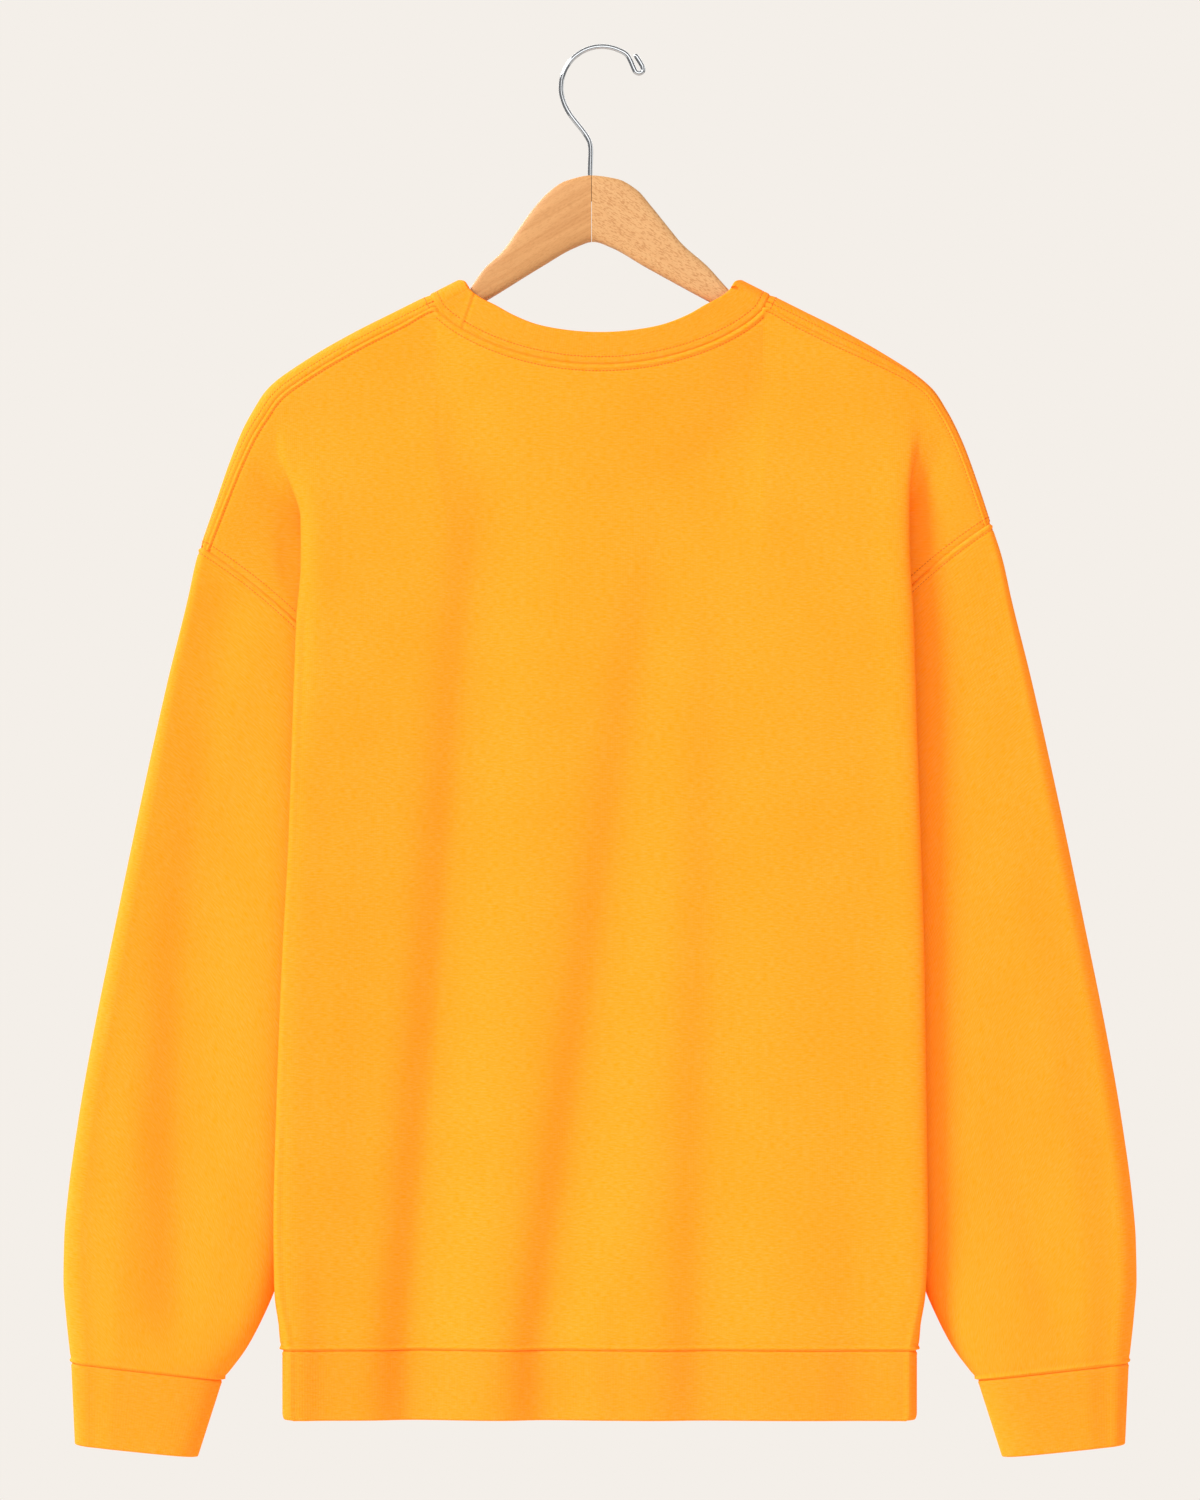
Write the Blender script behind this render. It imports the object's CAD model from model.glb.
"""A crewneck sweatshirt on a wooden hanger, seen from its back.

Sizes in the classes are millimetres unless a name says otherwise. Meshes are in metres, in
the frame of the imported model: +Z up, the garment's back faces -Y.
"""

from __future__ import annotations

import logging
import math
from dataclasses import dataclass, field
from enum import Enum

import bpy
import numpy as np
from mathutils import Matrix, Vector
from mathutils.kdtree import KDTree

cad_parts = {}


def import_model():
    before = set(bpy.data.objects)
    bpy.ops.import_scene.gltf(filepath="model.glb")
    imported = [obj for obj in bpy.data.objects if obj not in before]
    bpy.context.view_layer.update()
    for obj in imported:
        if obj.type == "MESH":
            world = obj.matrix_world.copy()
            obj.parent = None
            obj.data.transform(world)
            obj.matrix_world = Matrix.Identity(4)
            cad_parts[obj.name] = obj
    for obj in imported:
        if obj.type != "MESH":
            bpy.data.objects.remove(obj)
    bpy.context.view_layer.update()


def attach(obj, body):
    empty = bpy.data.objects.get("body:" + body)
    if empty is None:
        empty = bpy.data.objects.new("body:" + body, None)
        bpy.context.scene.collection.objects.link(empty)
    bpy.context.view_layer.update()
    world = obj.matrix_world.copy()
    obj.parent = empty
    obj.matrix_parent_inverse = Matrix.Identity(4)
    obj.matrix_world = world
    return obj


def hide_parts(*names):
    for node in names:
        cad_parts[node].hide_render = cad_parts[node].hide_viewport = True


LOG = logging.getLogger("sweatshirt")
MM = 0.001
SHARP = math.radians(55)
# How far from a seam the cloth is shaped, in millimetres
SEAM_REACH = 14.0
# Finer steps along a seam, points of each line that runs in from one, steps between the neck's knots
RIM_STEPS = 6
LINE_POINTS = 14
NECK_FILL = 4
# The last of the body's columns that the side fold places; the columns after it follow from it
TURN_COLUMN = 10
# Shares of a band's height where its rows end, close together at its rounded edge
BAND_END = [0.955, 0.97, 0.98, 0.988, 0.994, 1]


class Face(Enum):
    """The two faces of the garment, by the sign of their depth."""

    BACK = -1
    FRONT = 1


class Hand(Enum):
    """The two sides of the garment, by the sign of x."""

    LEFT = -1
    RIGHT = 1


def smooth(share: np.ndarray) -> np.ndarray:
    """Return a share eased at 0 and 1."""
    t = np.clip(share, 0.0, 1.0)
    return t * t * (3 - 2 * t)


def mix(a: np.ndarray, b: np.ndarray, share: np.ndarray) -> np.ndarray:
    """Return the value a share of the way from a to b."""
    return a + (b - a) * share


def unit(vectors: np.ndarray) -> np.ndarray:
    """Return vectors scaled to length 1."""
    length = np.linalg.norm(vectors, axis=-1, keepdims=True)
    return vectors / np.maximum(length, 1e-9)


class Table:
    """Sizes in named columns, read between rows on a smooth curve."""

    def __init__(self, names: str, rows: list[tuple[float, ...]]) -> None:
        """Store the rows, sorted by the first column.

        Args:
            names: the columns' names, the input first.
            rows: one tuple of numbers for each row.
        """
        self.names = names.split()
        self.values = np.array(sorted(rows), float)

    def read(self, name: str, at: np.ndarray) -> np.ndarray:
        """Read one column.

        Args:
            name: the column's name.
            at: values of the first column.

        Returns:
            The column's values there.
        """
        x, y = self.values[:, 0], self.values[:, self.names.index(name)]
        at = np.clip(np.asarray(at, float), x[0], x[-1])
        k = np.clip(np.searchsorted(x, at, side="right") - 1, 0, len(x) - 2)
        steps = np.diff(y) / np.diff(x)
        same = steps[:-1] * steps[1:] > 0
        total = np.where(same, steps[:-1] + steps[1:], 1.0)
        inner = np.where(same, 2 * steps[:-1] * steps[1:] / total, 0.0)
        slopes = np.concatenate([steps[:1], inner, steps[-1:]])
        width = x[k + 1] - x[k]
        t = (at - x[k]) / width
        rise = mix(y[k], y[k + 1], t * t * (3 - 2 * t))
        return rise + width * (t * (1 - t) ** 2 * slopes[k] + t * t * (t - 1) * slopes[k + 1])


def spline(points: np.ndarray, counts: list[int], before: np.ndarray | None = None) -> np.ndarray:
    """Fill in a smooth curve through points.

    Args:
        points: (rows, knots, 3) knots, one curve for each row.
        counts: how many steps each stretch between knots gets.
        before: optional (rows, 3) point ahead of the first knot.

    Returns:
        (rows, sum of counts + 1, 3) points.
    """
    first = 2 * points[:, 0] - points[:, 1] if before is None else before
    last = 2 * points[:, -1] - points[:, -2]
    knots = np.concatenate([first[:, None], points, last[:, None]], axis=1)
    gap = np.sqrt(np.maximum(np.linalg.norm(np.diff(knots, axis=1), axis=2), 1e-6))[..., None]
    out = []
    for k, count in enumerate(counts):
        p0, p1, p2, p3 = (knots[:, k + n] for n in range(4))
        d0, d1, d2 = (gap[:, k + n] for n in range(3))
        m1 = d1 * ((p1 - p0) / d0 - (p2 - p0) / (d0 + d1) + (p2 - p1) / d1)
        m2 = d1 * ((p2 - p1) / d1 - (p3 - p1) / (d1 + d2) + (p3 - p2) / d2)
        for step in range(count):
            t = step / count
            h00, h01 = (1 + 2 * t) * (1 - t) ** 2, t * t * (3 - 2 * t)
            out.append(h00 * p1 + h01 * p2 + t * (1 - t) ** 2 * m1 + t * t * (t - 1) * m2)
    out.append(points[:, -1])
    return np.stack(out, axis=1)


def run_along(line: np.ndarray) -> np.ndarray:
    """Return the length run at each point of a line, from 0."""
    return np.concatenate([[0], np.cumsum(np.linalg.norm(np.diff(line, axis=0), axis=1))])


def grid_normals(grid: np.ndarray, closed: bool) -> np.ndarray:
    """Return unit normals of a grid, along rows cross columns.

    Args:
        grid: (rows, columns, 3) points.
        closed: True where the last column joins the first.

    Returns:
        (rows, columns, 3) unit vectors.
    """
    if closed:
        across = np.roll(grid, -1, axis=1) - np.roll(grid, 1, axis=1)
    else:
        across = np.gradient(grid, axis=1)
    return unit(np.cross(np.gradient(grid, axis=0), across))


@dataclass(frozen=True)
class Relief:
    """How a seam shapes the cloth beside it: a groove at the seam, a raised edge, a needle row."""

    groove: float = 0.55
    groove_width: float = 0.9
    raised: float = 0.0
    raised_at: float = 1.9
    raised_width: float = 1.2
    needle: float = 0.25
    needle_at: float = 4.0
    needle_width: float = 0.8

    def offset(self, distance: np.ndarray) -> np.ndarray:
        """Return how far out the surface lies at a distance from the seam."""
        down = self.groove * np.exp(-((distance / self.groove_width) ** 2))
        up = self.raised * np.exp(-(((distance - self.raised_at) / self.raised_width) ** 2))
        row = self.needle * np.exp(-(((distance - self.needle_at) / self.needle_width) ** 2))
        return up - down - row


# On one side of each seam the allowance lies under the cloth and raises it
NECK_BODY = Relief(groove=0.75, raised=0.7, raised_at=2.1, raised_width=1.1, needle=0.42, needle_at=4.3)
NECK_RIB = Relief(groove=0.8, groove_width=0.8, needle=0.25, needle_at=5.2)
SHOULDER_BACK = Relief(groove=0.8, raised=0.5, raised_at=1.6, raised_width=0.9, needle=0.42, needle_at=3.1)
SHOULDER_FRONT = Relief(groove=0.8, needle=0.3, needle_at=4.4)
ARMHOLE_PLAIN = Relief(groove=0.75, needle=0.35, needle_at=4.4)
ARMHOLE_RAISED = Relief(groove=0.75, raised=0.55, raised_at=1.8, raised_width=1.0, needle=0.5, needle_at=4.0)
BAND_RAISED = Relief(
    groove=0.9, raised=1.0, raised_at=2.0, raised_width=1.1, needle=0.35, needle_at=4.2, needle_width=1.1
)
BAND_PLAIN = Relief(
    groove=0.6, groove_width=0.8, raised=0.15, raised_at=2.0, raised_width=0.8, needle=0.1, needle_at=3.4
)
BAND_JOIN = Relief(groove=0.55, raised=0.3, raised_at=2.2, raised_width=1.4, needle=0.0)
STITCH_ARMHOLE = 4.0

# Each seam of the two panels: its relief and how far from it the stitches run
BACK_SEAMS = {
    "neck": (NECK_BODY, 4.3), "shoulder": (SHOULDER_BACK, 3.0), "armhole": (ARMHOLE_PLAIN, 4.4),
    "hem": (BAND_RAISED, None),
}
FRONT_SEAMS = {
    "neck": (NECK_BODY, 4.3), "shoulder": (SHOULDER_FRONT, 4.4), "armhole": (ARMHOLE_PLAIN, 4.4),
    "hem": (BAND_RAISED, None),
}


@dataclass
class Seam:
    """A sewn edge of one piece.

    Lines holds the grid indices (rows, columns) of lines that start at the seam and cross it.
    """

    relief: Relief
    lines: tuple[np.ndarray, np.ndarray]

    def distance(self, grid: np.ndarray) -> np.ndarray:
        """Return every grid point's distance from the seam.

        Args:
            grid: (rows, columns, 3) points in millimetres.

        Returns:
            (rows, columns) distances.
        """
        rim = grid[self.lines[0][:, 0], self.lines[1][:, 0]]
        fine = spline(rim[None], [RIM_STEPS] * (len(rim) - 1))[0]
        tree = KDTree(len(fine))
        for k, point in enumerate(fine.tolist()):
            tree.insert(point, k)
        tree.balance()
        flat = grid.reshape(-1, 3)
        low, high = fine.min(0) - SEAM_REACH, fine.max(0) + SEAM_REACH
        near = np.all((flat > low) & (flat < high), axis=1)
        out = np.full(len(flat), SEAM_REACH)
        out[near] = [tree.find(point)[2] for point in flat[near].tolist()]
        return np.minimum(out, SEAM_REACH).reshape(grid.shape[:2])


class Cloth:
    """A thin closed shell made from a grid of outer points."""

    def __init__(self, name: str, grid: np.ndarray, uv: np.ndarray, thickness: float, closed: bool) -> None:
        """Keep a grid for the mesh.

        Args:
            name: the piece's name.
            grid: (rows, columns, 3) outer points in millimetres, outward by rows cross columns.
            uv: (rows, columns + closed, 2) flat places in metres.
            thickness: of the cloth, in millimetres.
            closed: True for a tube.
        """
        self.name, self.grid, self.uv, self.closed = name, grid, uv, closed
        self.thickness = np.full(grid.shape[:2], thickness)
        self.normals = grid_normals(grid, closed)
        spans = grid.shape[1] - (0 if closed else 1)
        self.used = np.ones((grid.shape[0] - 1, spans), bool)
        self.start = grid.copy()
        self.rows_of_stitches: list[tuple[np.ndarray, np.ndarray]] = []

    def sew(self, seam: Seam, stitch_at: float | None = None) -> None:
        """Shape the cloth beside a seam and note its row of stitches.

        Args:
            seam: the seam.
            stitch_at: distance of the stitches from the seam, or None for no stitches.
        """
        distance = seam.distance(self.start)
        self.grid = self.grid + self.normals * seam.relief.offset(distance)[..., None]
        if stitch_at is None:
            return
        away = distance[seam.lines]
        far = np.maximum.accumulate(away, axis=1)
        k = np.clip(np.sum(far < stitch_at, axis=1) - 1, 0, far.shape[1] - 2)
        each = np.arange(len(k))
        step = np.maximum(far[each, k + 1] - far[each, k], 1e-6)
        share = np.clip((stitch_at - far[each, k]) / step, 0, 1)[:, None]
        points, normals = self.grid[seam.lines], self.normals[seam.lines]
        self.rows_of_stitches.append((
            mix(points[each, k], points[each, k + 1], share),
            unit(mix(normals[each, k], normals[each, k + 1], share)),
        ))

    def flip(self) -> None:
        """Reverse the order of the columns, so that the faces look the other way."""
        shift = 1 if self.closed else 0
        self.grid = np.roll(self.grid[:, ::-1], shift, axis=1)
        self.normals = np.roll(self.normals[:, ::-1], shift, axis=1)
        self.thickness = np.roll(self.thickness[:, ::-1], shift, axis=1)
        self.uv, self.used = self.uv[:, ::-1], self.used[:, ::-1]

    def round_edge(self, distance: np.ndarray) -> None:
        """Round the folded edge of a double band.

        Args:
            distance: (rows, columns) from the fold, in millimetres.
        """
        half = self.thickness / 2
        reach = np.clip(1 - distance / half, 0, 1)
        share = np.sqrt(np.maximum(1 - reach**2, 0.004))
        self.grid = self.grid - self.normals * (half * (1 - share))[..., None]
        self.thickness = self.thickness * share

    def build(self) -> bpy.types.Object:
        """Make the mesh object, linked to the scene."""
        rows, columns = self.grid.shape[:2]
        inner = self.grid - self.normals * self.thickness[..., None]
        points = np.concatenate([self.grid.reshape(-1, 3), inner.reshape(-1, 3)]) * MM
        i, j = np.nonzero(self.used)
        nxt = (j + 1) % columns
        row, below = i * columns, (i + 1) * columns
        outer = np.stack([row + j, below + j, below + nxt, row + nxt], 1)
        place = np.stack([self.uv[i, j], self.uv[i + 1, j], self.uv[i + 1, j + 1], self.uv[i, j + 1]], 1)
        count = rows * columns
        first, second = outer, np.roll(outer, -1, axis=1)
        uv_first, uv_second = place, np.roll(place, -1, axis=1)
        rim = ~np.isin(first * count + second, second * count + first)
        a, b, uv_a, uv_b = first[rim], second[rim], uv_first[rim], uv_second[rim]
        edge = np.stack([b, a, a + count, b + count], 1)
        faces = np.concatenate([outer, outer[:, ::-1] + count, edge])
        places = np.concatenate([place, place[:, ::-1], np.stack([uv_b, uv_a, uv_a, uv_b], 1)])
        used, faces = np.unique(faces, return_inverse=True)
        return make_object(self.name, points[used], faces.reshape(-1, 4), places)


def close_loop(lines: tuple[np.ndarray, np.ndarray]) -> tuple[np.ndarray, np.ndarray]:
    """Return crossing lines with the first repeated at the end, for a closed seam."""
    return tuple(np.concatenate([part, part[:1]]) for part in lines)


def loop_lines(count: int) -> tuple[np.ndarray, np.ndarray]:
    """Return the grid lines that run down a tube from its first row."""
    run = np.broadcast_to(np.arange(LINE_POINTS), (count, LINE_POINTS))
    return run, np.broadcast_to(np.arange(count)[:, None], (count, LINE_POINTS))


def spaced(start: list[float], middle: tuple[float, float, int], end: list[float]) -> np.ndarray:
    """Return shares of a length from 0 to 1, close together at both ends.

    Args:
        start: shares beside the first seam.
        middle: first share, last share and count of the even ones between.
        end: shares beside the second seam or edge.

    Returns:
        The shares in order.
    """
    return np.concatenate([start, np.linspace(*middle), end])


def make_object(
    name: str, points: np.ndarray, faces: np.ndarray | list, places: np.ndarray | None = None
) -> bpy.types.Object:
    """Make a smooth mesh object, linked to the scene.

    Args:
        name: the object's name.
        points: (n, 3) in metres.
        faces: loops of point numbers.
        places: optional flat places of each face's corners, in metres.

    Returns:
        The new object.
    """
    mesh = bpy.data.meshes.new(name)
    mesh.from_pydata(points.tolist(), [], [list(map(int, face)) for face in faces])
    if places is not None:
        layer = mesh.uv_layers.new(name="flat")
        layer.data.foreach_set("uv", places.reshape(-1).astype(np.float32))
    mesh.polygons.foreach_set("use_smooth", np.ones(len(mesh.polygons), bool))
    mesh.update()
    mesh.set_sharp_from_angle(angle=SHARP)
    obj = bpy.data.objects.new(name, mesh)
    bpy.context.scene.collection.objects.link(obj)
    return obj


@dataclass
class Hang:
    """How the garment hangs: its outline, its side folds and its soft folds."""

    hem_seam: float = -871.0
    hem_bottom: float = -917.6
    neck_drop: dict = field(default_factory=lambda: {Face.BACK: 39.0, Face.FRONT: 104.0})
    neck_power: dict = field(default_factory=lambda: {Face.BACK: 1.57, Face.FRONT: 1.15})
    neck_stand: dict = field(default_factory=lambda: {Face.BACK: 8.0, Face.FRONT: 14.0})
    armpit: tuple[float, float] = (105.5, -537.0)
    sleeve_top: dict = field(
        default_factory=lambda: {Hand.LEFT: (268.0, -334.0), Hand.RIGHT: (262.0, -318.0)}
    )
    bow: dict = field(default_factory=lambda: {Hand.LEFT: 22.0, Hand.RIGHT: 26.0})
    pocket_radius: float = 8.0
    # Depth of the valley as a share of the turn's radius
    valley_share: float = 0.42
    # The valley goes over into the pocket from this far above the armpit, over this length
    pocket_above: float = 34.0
    pocket_over: float = 40.0
    ridge_fill: int = 12
    # A soft fold is steep on its left and gentle on its right, as shares of its half width
    fold_steep: float = 0.78
    fold_gentle: float = 1.5

    ridge_rows = [
        (114.2, -164.5), (135.0, -174.9), (161.8, -188.3), (185.9, -201.7), (207.4, -215.1),
        (223.4, -228.5), (232.2, -241.9), (239.5, -255.3), (247.6, -275.4), (256.9, -302.2),
    ]
    roll_table = Table("along depth drop seam_left seam_right", [
        (0.0, 9.9, 9.6, 1.0, 1.0),
        (0.25, 9.9, 9.6, 1.0, 0.95),
        (0.42, 9.9, 9.6, 1.0, 0.55),
        (0.55, 9.9, 9.6, 0.98, 0.35),
        (0.7, 9.0, 8.6, 0.85, 0.35),
        (0.85, 8.0, 7.4, 0.7, 0.35),
        (1.0, 7.0, 6.5, 0.6, 0.35),
    ])
    depth_table = Table("z depth", [
        (-165, 9.9), (-230, 11.0), (-300, 18.0), (-380, 24.5), (-450, 27.5), (-720, 27.5), (-871, 25.0),
    ])
    fold_table = Table("z edge_left in_left edge_right in_right radius turn", [
        (-232, 211.0, -14, 205.0, -14, 0.6, 0.0),
        (-250, 214.0, -10, 208.5, -9, 1.5, 0.2),
        (-270, 211.5, -4, 209.0, -2, 3.0, 0.5),
        (-290, 206.0, 4, 207.5, 6, 4.0, 0.8),
        (-315, 200.5, 14, 207.0, 16, 4.8, 1.0),
        (-345, 200.3, 26, 207.5, 29, 5.0, 1.0),
        (-380, 203.0, 43, 209.5, 47, 5.0, 1.0),
        (-450, 205.5, 72, 211.5, 77, 5.0, 1.0),
        (-537, 208.5, 103, 214.5, 109, 5.0, 1.0),
        (-600, 212.0, 87, 216.5, 92, 5.0, 1.0),
        (-700, 216.0, 53, 218.0, 55, 5.0, 1.0),
        (-790, 218.2, 20, 219.0, 21, 5.0, 1.0),
        (-831, 217.5, 7, 217.5, 7, 6.0, 0.6),
        (-852, 215.0, 2, 214.5, 2, 7.0, 0.2),
        (-871, 212.2, 0, 211.7, 0, 8.0, 0.0),
    ])
    # How much deeper the cloth dips just behind each flap's edge
    dip_table = Table("z left right", [
        (-232, 0.0, 0.0), (-255, 1.0, 2.0), (-285, 3.6, 4.2), (-330, 5.0, 5.0),
        (-390, 4.6, 4.2), (-450, 2.2, 2.4), (-520, 0.0, 0.6), (-537, 0.0, 0.0),
    ])
    dip_shares = {"under": 0.5, "valley_far": 0.9, "valley": 1.0, "valley_near": 1.0}

    # Soft folds: face, where each starts and ends, half width, inset at top and end
    folds = [
        (Face.BACK, -74, -262, -125, -871, 25, 3.2, 10.0),
        (Face.BACK, -136, -420, -160, -871, 34, 0.0, 3.2),
        (Face.BACK, 48, -289, -37, -871, 24, 1.8, 9.0),
        (Face.BACK, 84, -300, 68, -871, 24, 1.0, 5.0),
        (Face.BACK, 168, -700, 172, -871, 24, 0.0, 2.0),
        (Face.BACK, -186, -790, -186, -871, 12, 0.0, 1.6),
        (Face.BACK, 14, -800, 12, -871, 12, 0.0, 1.2),
        (Face.BACK, -243, -342, -279, -620, 29, 4.6, 7.4),
        (Face.BACK, -226, -700, -250, -864, 16, 0.0, 2.2),
        (Face.BACK, 262, -700, 312, -880, 16, 0.0, 2.4),
        (Face.FRONT, 84, -330, 122, -871, 25, 2.6, 9.0),
        (Face.FRONT, 140, -440, 166, -871, 30, 0.0, 2.8),
        (Face.FRONT, -40, -420, 26, -871, 24, 1.4, 7.6),
        (Face.FRONT, -96, -400, -118, -871, 24, 1.0, 5.4),
        (Face.FRONT, 242, -400, 282, -680, 26, 2.4, 4.4),
        (Face.FRONT, -244, -380, -304, -864, 17, 1.6, 3.4),
    ]
    # Narrow troughs beside the flaps, as the soft folds
    side_folds = [
        (Face.BACK, -213, -232, -206, -480, 9.0, 11.0, 0.0),
        (Face.BACK, 215, -240, 217, -450, 6.0, 3.5, 0.0),
        (Face.FRONT, 211, -234, 202, -460, 7.5, 5.5, 0.0),
        (Face.FRONT, -214, -240, -216, -450, 6.0, 3.0, 0.0),
    ]
    # The pocket behind the side fold: share of its radius left at its bottom, share of depth
    pocket = {
        "under": (6.0, 0.92), "valley_far": (0.95, 0.8), "valley": (0.5, 0.66),
        "valley_near": (0.25, 0.5), "cap_inner": (0.1, 0.33), "cap_outer": (0.03, 0.17),
        "armhole": (0.0, 0.0),
    }

    def __post_init__(self) -> None:
        """Measure the ridge of each shoulder along its length."""
        self.ridges = {}
        for hand in Hand:
            end = self.sleeve_top[hand]
            rows = [row for row in self.ridge_rows if row[1] > end[1] + 8] + [end]
            knots = np.array([[(half, 0.0, z) for half, z in rows]])
            line = spline(knots, [self.ridge_fill] * (len(rows) - 1))[0]
            along = run_along(line)
            self.ridges[hand] = (along / along[-1], line)

    def roll(self, hand: Hand, along: np.ndarray, angle: np.ndarray) -> np.ndarray:
        """Return points of the roll over a shoulder.

        Args:
            hand: the shoulder.
            along: place along the ridge, 0 at the neck and 1 at the sleeve.
            angle: round the roll, 0 on top and positive towards the front.

        Returns:
            Points in millimetres.
        """
        along, angle = np.broadcast_arrays(np.asarray(along, float), np.asarray(angle, float))
        share, line = self.ridges[hand]
        half, z = np.interp(along, share, line[:, 0]), np.interp(along, share, line[:, 2])
        near, far = np.clip(along - 0.01, 0, 1), np.clip(along + 0.01, 0, 1)
        dh = np.interp(far, share, line[:, 0]) - np.interp(near, share, line[:, 0])
        dz = np.interp(far, share, line[:, 2]) - np.interp(near, share, line[:, 2])
        length = np.hypot(dh, dz)
        drop = self.roll_table.read("drop", along) * (1 - np.cos(angle))
        y = self.roll_table.read("depth", along) * np.sin(angle)
        return np.stack([hand.value * (half + dz / length * drop), y, z - dh / length * drop], -1)

    def seam_angle(self, hand: Hand, along: np.ndarray) -> np.ndarray:
        """Return where the shoulder seam lies round the roll, behind the ridge."""
        name = "seam_left" if hand is Hand.LEFT else "seam_right"
        return -np.arccos(1 - self.roll_table.read(name, along))

    def fold(self, hand: Hand, name: str, z: np.ndarray) -> tuple[np.ndarray, np.ndarray]:
        """Return half width and depth of one column of the side fold.

        Args:
            hand: the side.
            name: the column's name.
            z: heights.

        Returns:
            Half widths and depths at those heights.
        """
        side = hand.name.lower()
        edge = self.fold_table.read(f"edge_{side}", z)
        radius, turn = self.fold_table.read("radius", z), self.fold_table.read("turn", z)
        depth = self.depth_table.read("depth", z)

        def turned(step: float) -> tuple[np.ndarray, np.ndarray]:
            """Return a point of the turn at the fold's edge."""
            angle = math.pi / 2 - step * (math.pi / 6) * (1 + turn)
            return edge - radius + radius * np.cos(angle), depth - radius * (1 - np.sin(angle))

        if name.startswith("turn"):
            return turned(float(name[4:]))
        start_half, start_depth = turned(3)
        bottom = edge - self.fold_table.read(f"in_{side}", z)
        valley = self.valley_share * radius * turn
        above = {
            "under": (mix(start_half, bottom + valley, 0.5), start_depth),
            "valley_far": (bottom + valley, start_depth),
            "valley": (bottom, start_depth - valley),
            "valley_near": (bottom + valley, start_depth - 2 * valley),
        }
        length = start_half - bottom
        short, share = self.pocket[name]
        reach = np.minimum(0.5 * length + 1, short * np.clip(length, 0, self.pocket_radius))
        below = (bottom + reach, start_depth * share)
        if name not in above:
            return below
        blend = smooth((self.armpit[1] + self.pocket_above - z) / self.pocket_over)
        return mix(above[name][0], below[0], blend), mix(above[name][1], below[1], blend)

    def inset(self, face: Face, x: np.ndarray, z: np.ndarray, beside: bool = False) -> np.ndarray:
        """Return how far the soft folds of one face, or those beside its flaps, set its cloth in."""
        total = np.zeros_like(x)
        folds = self.side_folds if beside else self.folds
        for where, top_x, top_z, end_x, end_z, width, top, end in folds:
            if where is not face:
                continue
            down = np.clip((top_z - z) / (top_z - end_z), 0, 1)
            across = (x - mix(top_x, end_x, down)) / width
            across = across / np.where(across < 0, self.fold_steep, self.fold_gentle)
            total += mix(top, end, down) * smooth(down * 6) * np.exp(-across * across)
        return total

    def armhole(self, hand: Hand, face: Face, step: np.ndarray) -> np.ndarray:
        """Return points of an armhole seam, from shoulder at 0 to armpit at 1."""
        step = np.asarray(step, float)
        angle = self.seam_angle(hand, 1.0) if face is Face.BACK else math.pi / 2
        start = self.roll(hand, 1.0, angle)
        start_half = start[0] * hand.value
        run, fall = self.armpit[0] - start_half, self.armpit[1] - start[2]
        length = math.hypot(run, fall)
        bow = self.bow[hand] * 4 * step * (1 - step)
        half = start_half + run * step + bow * fall / length
        z = start[2] + fall * step - bow * run / length
        valley = self.fold(hand, "valley_near", z + self.pocket_above)[1]
        full = mix(abs(start[1]), valley, smooth(step * 1.6))
        y = face.value * full * np.sqrt(np.clip(1 - step**8, 0, 1))
        return np.stack([hand.value * half, y, z], -1)

    def neck(self, face: Face, share: np.ndarray) -> np.ndarray:
        """Return points of the neck seam from left, 0, to right, 1."""
        ends = []
        for hand in Hand:
            angle = self.seam_angle(hand, 0.0) if face is Face.BACK else math.pi / 2
            ends.append(self.roll(hand, 0.0, angle))
        left, right = ends
        turn = np.pi * np.asarray(share, float)
        across, sine = (1 - np.cos(turn)) / 2, np.clip(np.sin(turn), 0, 1)
        x, z = mix(left[0], right[0], across), mix(left[2], right[2], across)
        z = z - self.neck_drop[face] * sine ** self.neck_power[face]
        return np.stack([x, left[1] + face.value * self.neck_stand[face] * sine**2, z], -1)


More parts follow.
